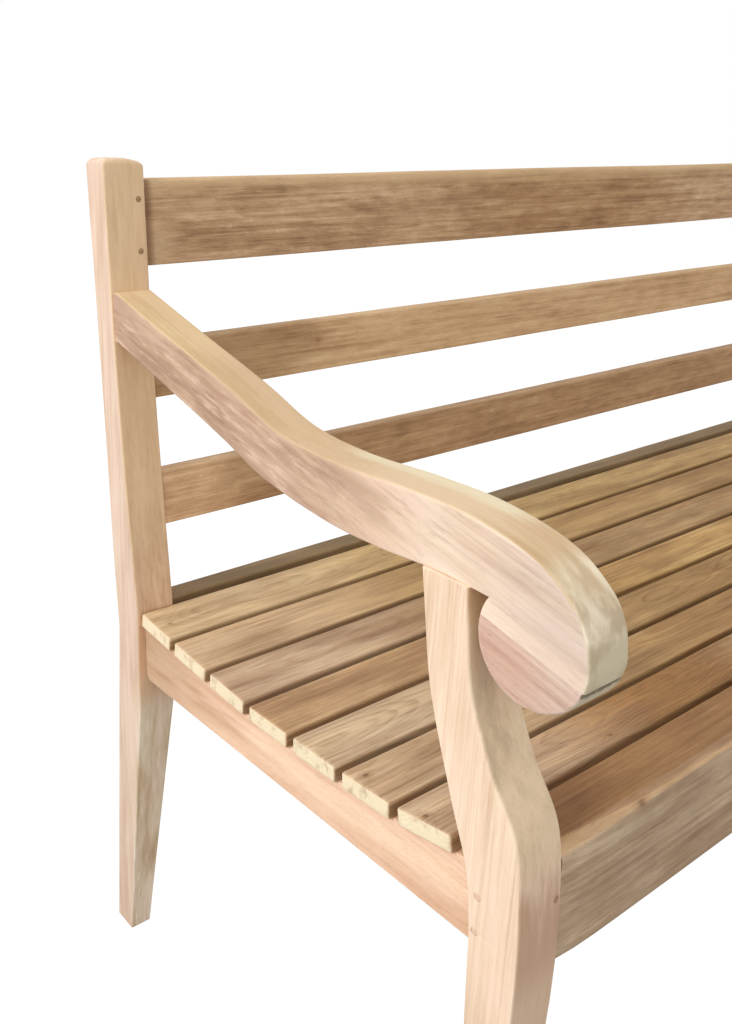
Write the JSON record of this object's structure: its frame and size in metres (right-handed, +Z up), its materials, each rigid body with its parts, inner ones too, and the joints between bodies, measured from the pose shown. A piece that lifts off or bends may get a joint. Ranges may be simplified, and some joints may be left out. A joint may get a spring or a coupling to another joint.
{
  "type": "garden bench",
  "caption": "Long wooden garden bench with a dished slatted seat, horizontal back rails, curved tapered legs and scroll-ended arms.",
  "frame": {"origin": "centre of the bench at ground level, in the middle of its length and depth", "axes": "+X along the bench to the right as seen from the front, -Y the way a sitter faces, +Z up; left and right in names are as seen from the front"},
  "size_m": [1.5, 0.6022, 0.902],
  "materials": {
    "teak_legs": "planed and sanded teak, unoiled, faint grain with eased edges",
    "teak_arms": "sanded teak, pinkish side faces, golden top, pale end grain on the scroll",
    "teak_back_rails": "planed teak, mid brown, grain along the bench",
    "teak_seat_rails": "planed teak, mid brown, grain along the length",
    "teak_slats": "planed teak boards that vary from straw to mid brown, pale end grain",
    "dowel_wood": "end-grain hardwood dowels, mid brown and a little darker than the teak around them, cut flush",
    "screw_steel": "plain stainless steel, satin"
  },
  "bodies": {
    "root": {"rear_leg_left": "teak_legs", "rear_leg_right": "teak_legs", "front_leg_left": "teak_legs", "front_leg_right": "teak_legs", "armrest_left": "teak_arms", "armrest_right": "teak_arms", "arm_scroll_left": "teak_arms", "arm_scroll_right": "teak_arms", "top_rail": "teak_back_rails", "back_slat_upper": "teak_back_rails", "back_slat_lower": "teak_back_rails", "rear_seat_rail": "teak_seat_rails", "front_seat_rail": "teak_seat_rails", "side_rail_left": "teak_seat_rails", "side_rail_right": "teak_seat_rails", "seat_bearer_left": "teak_seat_rails", "seat_bearer_right": "teak_seat_rails", "seat_slat_1": "teak_slats", "seat_slat_2": "teak_slats", "seat_slat_3": "teak_slats", "seat_slat_4": "teak_slats", "seat_slat_5": "teak_slats", "seat_slat_6": "teak_slats", "seat_slat_7": "teak_slats", "top_rail_pins": "dowel_wood", "back_slat_pins": "dowel_wood", "rear_seat_rail_pins": "dowel_wood", "front_rail_pins": "dowel_wood", "side_rail_pins": "dowel_wood", "arm_pins": "dowel_wood", "scroll_dowels": "dowel_wood", "seat_screws": "screw_steel"}
  },
  "joints": []
}
